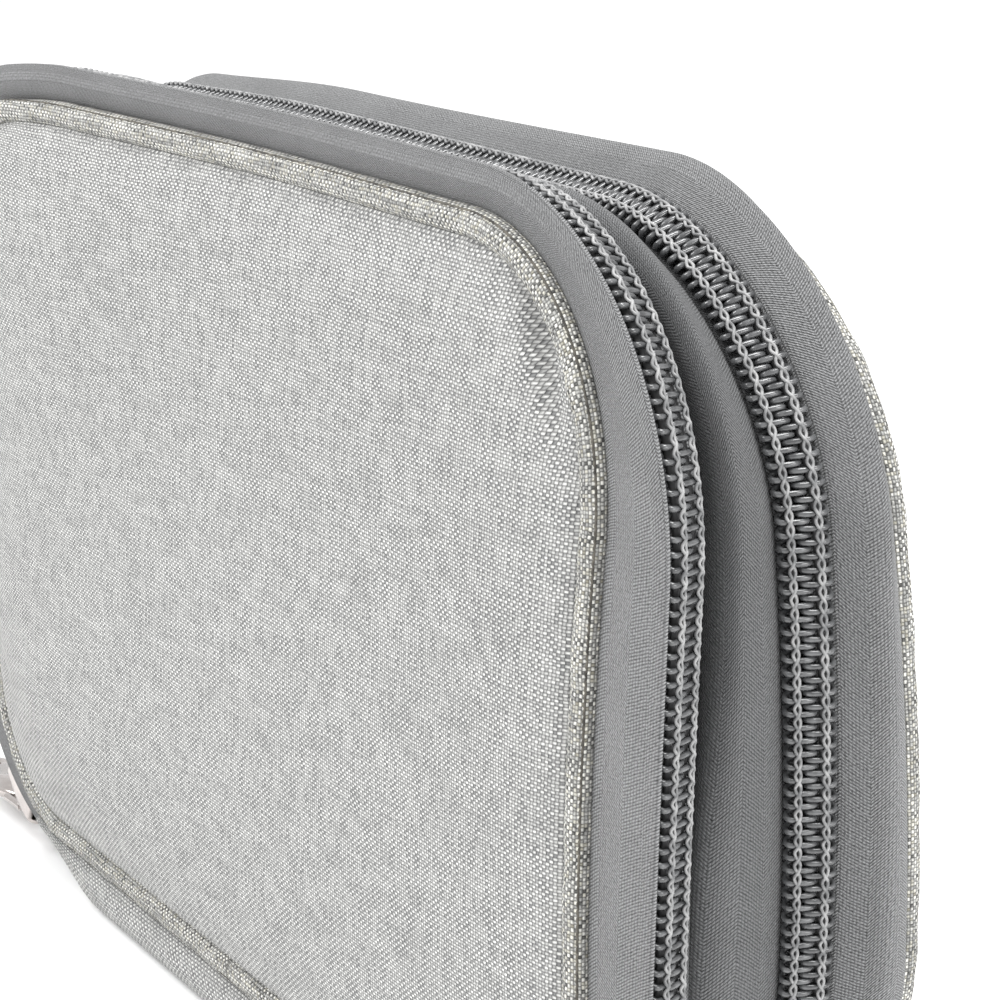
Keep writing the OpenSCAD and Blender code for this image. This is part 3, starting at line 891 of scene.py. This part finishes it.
def stitching(name, chain, side):
    """Two threads that cross over each leg of one coil half and part between the legs."""
    places = np.arange(0, chain_length(chain), PITCH / 8)
    middle, out, across = along(chain, places)
    offset = 0.25 if side > 0 else 0.75
    phase = (places / PITCH - offset) * math.pi
    paths = []
    for turn in (-1, 1):
        w = side * (STITCH_ACROSS + turn * 0.3 * np.sin(phase))
        n = COIL_HALF_T + 0.06 + 0.12 * np.cos(2 * phase) + turn * 0.05 * np.cos(phase)
        paths.append(middle + across * w[:, None] + out * n[:, None])
    return tubes_piece(name, paths, THREAD_R, STITCH)


def filler_cord(name, chain, side):
    """The soft cord that fills a coil half."""
    middle, _, across = along(chain, np.arange(0, chain_length(chain), PITCH))
    return tubes_piece(name, [middle + across * side * CORD_ACROSS], CORD_R, TAPE_CORD)


# --- Build: covers and welts ---


def dress(piece, body, nodes, slot):
    """Puts a piece on its body, in place of its CAD nodes; its slot argument is not used."""
    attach(piece, body)
    if nodes:
        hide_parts(*nodes)
    return piece


for end, plane, bow, side, thickness in (
    ("front", FRONT_WELT, FRONT_BOW, -1, 3.0),
    ("back", BACK_WELT, BACK_BOW, 1, 3.6),
):
    lid = f"{end}_lid"
    nodes = [f"{end}_panel_fabric", f"{end}_panel_foam"]
    panel = dress(cover(f"{end}_cover", plane, bow, side), lid, nodes, "melange_fabric")
    dress(welt(f"{end}_welt_strip", plane, bow, side, thickness), lid, [f"{end}_welt"], "welt_fabric")
    # The dark tube along each welt is painted shade in its groove
    dress(welt_shade_tube(f"{end}_welt_shade_tube", plane, bow, side), lid, [], "welt_fabric")


# --- Build: zips ---

TAPE_PLACES = 640
COIL_PLACES = 2400


def lid_blend(piece, at_foot, at_lid):
    """Bakes a piece's place into its mesh; it follows neither the lid nor the spine.

    at_foot and at_lid, the Y where a point at the foot would follow the spine and where it would follow the
    lid, are not used.
    """
    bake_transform(piece)


TAPES = (
    ("front", FRONT_CHAIN, -1, front_outer_tape, front_inner_tape, FRONT_ZIP[0] - 1.0, FRONT_WELT[0] + 0.4),
    ("back", BACK_CHAIN, 1, back_outer_tape, back_inner_tape, BACK_ZIP[0] + 1.0, BACK_WELT[0] - 3.0),
)

for end, form, side, outer, inner, at_foot, at_lid in TAPES:
    t = np.linspace(CHAIN_START, CHAIN_END, TAPE_PLACES)
    chain = Chain(t, **form)
    grid = spline(outer(t, chain), 4)
    tape = sheet_piece(f"{end}_tape_outer", grid, TAPE_T, TAPE)
    lid_blend(tape, at_foot, at_lid)
    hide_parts(f"{end}_outer_tape", f"{end}_tail_tape")
    grid = spline(inner(t, chain), 4)
    # The inner tape takes the darker copy of the zip tape, painted shade for the valley
    tape = sheet_piece(f"{end}_tape_inner", grid, TAPE_T, SHADED_INNER_TAPE)
    dress(tape, "root", [f"{end}_inner_tape"], "zip_tape")
    fine = Chain(np.linspace(CHAIN_START, CHAIN_END, COIL_PLACES), **form)
    for half, half_side in (("outer", side), ("inner", -side)):
        coil = coil_half(f"{end}_{half}_coil_wire", fine, half_side, COIL)
        threads = stitching(f"{end}_{half}_coil_stitches", fine, half_side)
        cord = filler_cord(f"{end}_{half}_coil_cord", fine, half_side)
        if half == "outer":
            for piece in (coil, threads, cord):
                lid_blend(piece, at_foot, at_lid)
            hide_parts(f"{end}_outer_coil", f"{end}_tail_coil")
        else:
            dress(coil, "root", [f"{end}_inner_coil"], "zip_coil")
            dress(threads, "root", [], "zip_coil")
            dress(cord, "root", [], "zip_coil")


# --- Build: spine, gussets, valley floor, stops ---


def spine_lines(t):
    """The cloth under the pouch: from inside the front welt, down to the floor, to the back welt."""
    corner = smooth(np.minimum(t, 9 - t), 0.8, 1.1)
    stand = 1 - 0.8 * corner
    front, back = FRONT_WELT[0] + 1.4, BACK_WELT[0] - 1.4
    lines = []
    for y, u in (
        (front, -0.9), (front - 0.6, 0.5), (front - 2.0, 2.4), (front - 2.2, 4.8), (front - 0.9, 6.8),
        (front + 2, 7.35), (-9, 7.4), (0, 7.4), (9, 7.4), (back - 2, 7.35), (back + 0.9, 6.8),
        (back + 2.2, 4.8), (back + 2.0, 2.4), (back + 0.6, 0.5), (back, -0.9),
    ):
        out = u if u < 0 else u * stand
        lines.append(rail(t, (out, out, out), 0.0, (y, y)))
    return lines


def around_foot(reach):
    """Places from the right lower corner, along the foot, to the left lower corner."""
    return np.concatenate([np.linspace(9 - reach, 9, 90, endpoint=False), np.linspace(0, reach, 90)])


foot_t = around_foot(CHAIN_START + 0.04)
grid = spline(spine_lines(foot_t), 3)
spine = dress(sheet_piece("spine_cloth", grid, 0.5, MELANGE), "root", ["spine_panel"], "melange_fabric")


board_low, board_high = box_mm("spine_board")
across, down = np.meshgrid(
    np.linspace(board_low[0] + 0.5, board_high[0] - 0.5, 60),
    np.linspace(board_low[1] + 0.5, board_high[1] - 0.5, 22),
)
level = board_high[2] + 0.45 + 0.1 * np.sin(across * 0.2) * np.sin(down * 0.3)
grid = np.stack([across, down, level], -1)
piece = dress(sheet_piece("spine_lining", grid, 0.4, LINING), "root", [], "lining")


def gusset_lines(t, inner):
    """Cloth that closes a lower corner between the lids, with a shallow fold in its middle."""
    lines = []
    front, back = FRONT_WELT[0] + 2.3, BACK_WELT[0] - 2.3
    for f in np.linspace(0, 1, 9):
        u = -1.3 - inner * math.sin(math.pi * f) ** 2
        y = front + (back - front) * f
        lines.append(rail(t, (u, u, u), 0.0, (y, y)))
    return lines


for index, (corner, first) in enumerate((("left", 1.02), ("right", 7.05))):
    t = np.linspace(first, first + 0.93, 50)
    grid = spline(gusset_lines(t, 1.3), 3)
    piece = sheet_piece(f"gusset_{corner}", grid, 0.5, LINING)
    dress(piece, "root", ["corner_gussets"] if index == 0 else [], "lining")

# How far out from the panels' outline, and Y
VALLEY_SECTION = (
    (-8.0, -7.2), (-4.0, -7.1), (-2.5, -6.7), (-2.0, -5.5), (-2.5, -4.3), (-4.0, -3.9), (-8.0, -3.8),
)
t = np.linspace(1.9, 7.1, 400)
grid = spline([rail(t, (u, u, u), 0.0, (y, y)) for u, y in VALLEY_SECTION], 3)
piece = dress(sheet_piece("valley_floor", grid, 0.6, BINDING), "root", ["divider_binding"], "zip_tape")

STOP_SECTION = (
    (-3.1, -1.5), (-3.3, 0.2), (-2.6, 1.3), (0.0, 1.6), (2.6, 1.3), (3.3, 0.2), (3.1, -1.5), (0.0, -1.8),
)
for end, form in (("front", FRONT_CHAIN), ("back", BACK_CHAIN)):
    for corner, first in (("left", CHAIN_START - 0.07), ("right", CHAIN_END - 0.01)):
        chain = Chain(np.linspace(first, first + 0.08, 9), **form)
        piece = lofted(f"{end}_stop_{corner}", [chain.at(w, out) for w, out in STOP_SECTION], BINDING)
        dress(piece, "root", [f"{end}_zip_stops"] if corner == "left" else [], "zip_tape")


# --- Build: linings, pockets and loops ---

LINING_T = 0.45

# Away from the pocket's cloth, and above its edge
EDGE_SECTION = (
    (0.75, -0.6), (0.95, 1.2), (0.8, 3.6), (0.3, 4.5),
    (-0.3, 4.5), (-0.7, 3.6), (-0.75, 1.2), (-0.6, -0.6),
)
EDGE_HALF_L = 73


def half_width(z, inset):
    """Half the width of a panel, set in by inset, at heights above the foot of the panels."""
    rt, rb = TOP_R - inset, FOOT_R - inset
    below = np.clip(rb - (z - inset), 0, rb)
    above = np.clip(z - (HEIGHT - inset - rt), 0, rt)
    return HALF - inset - rb - rt + np.sqrt(rb ** 2 - below ** 2) + np.sqrt(rt ** 2 - above ** 2)


def inner_grid(plane, inset, heights, depth, gape=0.0, dip=0.0):
    """A sheet across a panel between two heights, at a depth in Y from its plane.

    gape is how far its upper edge stands off in the middle, and dip is how far that edge hangs down.
    """
    rows, columns = 34, 64
    z = np.linspace(*heights, rows)[:, None] + np.zeros((1, columns))
    across = np.linspace(-1, 1, columns)[None, :] + 0 * z
    x = across * half_width(z, inset)
    rise = (z - heights[0]) / (heights[1] - heights[0])
    middle = 1 - across ** 2
    edge = np.minimum(1 - np.abs(across), np.minimum(rise, 1 - rise)) * 6
    wave = 0.16 * np.sin(x * 0.13 + z * 0.05) * np.sin(z * 0.11 + 1) * np.clip(edge, 0, 1)
    y = plane[0] + (plane[1] - plane[0]) * z / HEIGHT + depth + gape * middle * rise ** 2 + wave
    return np.stack([x, y, z - dip * middle * rise + LIFT], -1)


def inner_sheet(name, body, node, grid, material, slot_name):
    """A lining or a pocket in place of its CAD node, through the given grid."""
    piece = dress(sheet_piece(name, grid, LINING_T, material), body, [node], slot_name)


def edge_binding(name, body, node, pocket, side):
    """Ribbed elastic folded over the upper edge of a pocket, whose grid is given."""
    top = pocket[-1]
    top = top[np.abs(top[:, 0]) < EDGE_HALF_L]
    lines = [top + [[0, side * y, z]] for y, z in EDGE_SECTION]
    dress(lofted(name, lines, ELASTIC), body, [node], "elastic")


for end, plane, side, depth, top, material, kind, node in (
    ("front", FRONT_WELT, -1, 3.1, 62, LINING, "lining", "front_lid_pocket"),
    ("back", BACK_WELT, 1, 3.1, 68, NETTING, "mesh", "back_lid_mesh_pocket"),
):
    lid = f"{end}_lid"
    grid = inner_grid(plane, 3.3, (3.4, HEIGHT - 3.4), -side * 1.5)
    inner_sheet(f"{end}_lid_lining", lid, f"{end}_panel_lining", grid, LINING, "lining")
    grid = inner_grid(plane, 9, (9, top), -side * depth, -side * 1.2, 1.5)
    inner_sheet(f"{end}_pocket", lid, node, grid, material, kind)
    edge_binding(f"{end}_pocket_edge", lid, f"{end}_lid_pocket_binding", grid, side)

divider = (DIVIDER_Y, DIVIDER_Y)
for end, side in (("front", -1), ("back", 1)):
    grid = inner_grid(divider, 3, (3.05, HEIGHT - 3.05), side * 1.15)
    node = f"divider_{end}_lining"
    inner_sheet(f"divider_{end}_cloth", "root", node, grid, LINING, "lining")
grid = inner_grid(divider, 10, (10, 58), 2.9, 1.2, 1.5)
node = "back_divider_pocket"
inner_sheet("divider_pocket", "root", node, grid, NETTING, "mesh")
edge_binding("divider_pocket_edge", "root", "back_divider_pocket_binding", grid, -1)


def loop_band(side, foot, reach, loops=5, width=20.0):
    """Elastic webbing that is sewn down between its loops."""
    x = np.linspace(-reach, reach, loops * 26 + 1)
    place = (x + reach) / (2 * reach) * loops
    arch = np.clip(np.sin(np.pi * (place - np.floor(place))), 0, 1)
    lift = 1.75 + 1.15 * smooth(arch, 0.12, 0.75)
    y = DIVIDER_Y + side * lift
    heights = LIFT + foot + np.linspace(0, width, 9)
    return np.array([np.stack([x, y, np.full_like(x, z)], 1) for z in heights])


for name, side, foot, reach, nodes in (
    ("front_loops_low", -1, 24, 71, ["front_elastic_loops"]),
    ("front_loops_high", -1, 66, 67, []),
    ("back_loops", 1, 76, 67, ["back_elastic_loops"]),
):
    grid = loop_band(side, foot, reach)
    piece = dress(sheet_piece(name, grid, 0.6, ELASTIC), "root", nodes, "elastic")


# --- Build: sliders and pulls ---

PIN_STANDS = 5.35
SLIDER_HALF_L = 5.5
SLIDER_HALF_W = 4.25
BRIDGE_HALF_L = 3.0
BRIDGE_FOOT = 3.6
BRIDGE_RISE = 3.1
BRIDGE_R = 0.65
PULL_RISE = math.radians(60)
PULL_L = 24.0
PULL_HALF_W = 3.4
HOLE_R = 1.8
ROD_R = 0.68
ARM_ACROSS = 2.95
ARM_R = 0.55

# Heights over the arc that the slider runs along, and how much smaller the outline is there
TOP_PLATE = ((2.75, 0.3), (2.95, 0), (3.5, 0), (3.75, 0.2), (3.85, 0.7))
LOWER_PLATE = ((-1.35, 0.3), (-1.15, 0), (-0.55, 0), (-0.35, 0.2))
SIDE_WALL = ((0.5, 0.2), (0.65, 0), (2.8, 0))
WEB = ((-0.45, 0), (2.8, 0))


def solid_layers(outline_points, layers, place):
    """Points and faces of a plate: each layer is a height and how much smaller the outline is there."""
    points = []
    count = len(outline_points)
    for height, inset in layers:
        for a, w in outline_points:
            size = math.hypot(a, w)
            f = 1 - inset / max(size, inset * 2, 0.1)
            points.append(place(a * f, w * f, height))
    faces = grid_faces(len(layers), count, close_columns=True)
    faces.append(list(range(count))[::-1])
    faces.append(list(range(len(points) - count, len(points))))
    return np.array(points), faces


def joined(name, parts, material):
    """One mesh of several closed parts, with crisp edges."""
    points, faces = merged(parts)
    piece = make_piece(name, points, faces, material)
    with_edges = piece.modifiers.new("edges", "EDGE_SPLIT")
    with_edges.split_angle = math.radians(50)
    return piece


def oval(half_l, half_w, power, count=40, narrow=0.0):
    """A rounded outline, along then across. narrow is how much slimmer its far end is."""
    result = []
    for k in range(count):
        angle = k / count * 2 * math.pi
        c, s = math.cos(angle), math.sin(angle)
        a = half_l * math.copysign(abs(c) ** power, c)
        w = (half_w - narrow * (0.5 + a / half_l / 2)) * math.copysign(abs(s) ** power, s)
        result.append((a, w))
    return result


def make_slider(end):
    """A slider in its parked place: plates above and under the coils, joined by a web, and a bridge."""
    travel, swing = joint(f"{end}_slider_travel"), joint(f"{end}_pull_swing")
    centre, pin = (np.array(j["pos_m"]) / MM for j in (travel, swing))
    across = unit(np.array(travel["axis"], float))
    reach = np.linalg.norm(pin - centre)
    out = (pin - centre) / reach
    up = np.cross(across, out)
    arc = reach - PIN_STANDS

    def place(a, w, u):
        turn = a / arc
        return centre + (arc + u) * (out * math.cos(turn) + up * math.sin(turn)) + across * w

    half_l = SLIDER_HALF_L
    parts = [
        solid_layers(oval(half_l, SLIDER_HALF_W, 0.42, narrow=0.7), TOP_PLATE, place),
        solid_layers(oval(half_l, 1.3, 0.35), LOWER_PLATE, place),
        solid_layers(oval(2.6, 0.4, 0.4), WEB, place),
    ]
    for side in (-1, 1):
        wall = solid_layers(
            oval(half_l - 0.6, 0.5, 0.3), SIDE_WALL,
            lambda a, w, u, side=side: place(a, w + side * (3.55 - a * 0.06), u),
        )
        parts.append(wall)
    angles = np.linspace(0, math.pi, 25)

    def bridge(a):
        c = math.cos(a)
        along_it = -BRIDGE_HALF_L * math.copysign(abs(c) ** 0.6, c)
        return place(along_it, 0, BRIDGE_FOOT + BRIDGE_RISE * math.sin(a) ** 0.6)

    parts.append(tube(np.array([bridge(a) for a in angles]), BRIDGE_R))
    slider = joined(f"{end}_slider_body", parts, METAL)
    dress(slider, f"{end}_slider", [f"{end}_slider"], "slider_metal")

    forwards = out * math.cos(PULL_RISE) + up * math.sin(PULL_RISE)
    above = np.cross(across, forwards)

    def on_pull(x, w, h):
        return pin + forwards * x + across * w + above * h

    hole_x = PULL_L - PULL_HALF_W
    angle = np.linspace(0, 2 * math.pi, 48, endpoint=False)
    c, s = np.cos(angle), np.sin(angle)
    tip = np.where(c > 0, PULL_HALF_W, 15.6)
    side_reach = PULL_HALF_W / np.maximum(np.abs(s), 1e-6)
    reach_out = np.where(c > 0, tip, np.minimum(tip / np.maximum(-c, 1e-6), side_reach))
    lines = []
    for is_hole, inset, h in (
        (False, 0.3, -0.65), (False, 0, -0.4), (False, 0, 0.4), (False, 0.3, 0.65),
        (True, -0.2, 0.65), (True, 0, 0.45), (True, 0, -0.45), (True, -0.2, -0.65),
    ):
        radius = (HOLE_R if is_hole else reach_out) - inset
        lines.append([on_pull(hole_x + a, w, h) for a, w in zip(radius * c, radius * s)])
    grid = np.array(lines)
    plate = grid.reshape(-1, 3), grid_faces(*grid.shape[:2], close_rows=True, close_columns=True)
    rod = tube(np.array([on_pull(0, w, 0) for w in np.linspace(-3.3, 3.3, 9)]), ROD_R)
    parts = [plate, rod]
    for side in (-1, 1):
        arm = [
            on_pull(x, side * (ARM_ACROSS - 0.05 * x * (5 - x) / 6), 0) for x in np.linspace(-0.2, 5.6, 9)
        ]
        parts.append(tube(np.array(arm), ARM_R))
    pull = joined(f"{end}_pull_tab", parts, METAL)
    dress(pull, f"{end}_pull", [f"{end}_pull"], "slider_metal")


for end in ("front", "back"):
    make_slider(end)


# --- Frame nodes that stay ---

for node, obj in frame["nodes"].items():
    obj.data.materials.clear()
    obj.data.materials.append(FOAM if node.endswith("foam") else BOARD)


# --- Floor and light ---


def make_stage():
    """A pale floor and a white room."""
    n = Nodes("floor")
    n.finish((0.93, 0.93, 0.93, 1), 0.95, specular=0.1)
    mesh = bpy.data.meshes.new("floor")
    reach = 6.0
    corners = [(-reach, -reach, 0), (reach, -reach, 0), (reach, reach, 0), (-reach, reach, 0)]
    mesh.from_pydata(corners, [], [(0, 1, 2, 3)])
    mesh.materials.append(n.material)
    floor = bpy.data.objects.new("floor", mesh)
    floor.location.z = -0.0002
    bpy.context.scene.collection.objects.link(floor)
    world = bpy.data.worlds.new("room")
    world.use_nodes = True
    world.node_tree.nodes["Background"].inputs[0].default_value = (1, 1, 1, 1)
    world.node_tree.nodes["Background"].inputs[1].default_value = 1.0
    bpy.context.scene.world = world


def area_light(name, place, target, size, power):
    """A soft square light at a place, facing a target, both in metres."""
    data = bpy.data.lights.new(name, "AREA")
    data.size = size
    data.energy = power
    light = bpy.data.objects.new(name, data)
    light.location = place
    light.rotation_mode = "QUATERNION"
    light.rotation_quaternion = (Vector(target) - Vector(place)).to_track_quat("-Z", "Y")
    bpy.context.scene.collection.objects.link(light)


make_stage()
area_light("key", (-0.25, -0.55, 0.75), (0.02, 0, 0.07), 0.5, 7)
area_light("top", (0.25, 0.1, 0.9), (0.05, 0, 0.1), 0.4, 7.5)
area_light("side", (0.9, 0.15, 0.35), (0.08, 0, 0.07), 0.35, 3)
bpy.context.scene.view_settings.view_transform = "Standard"
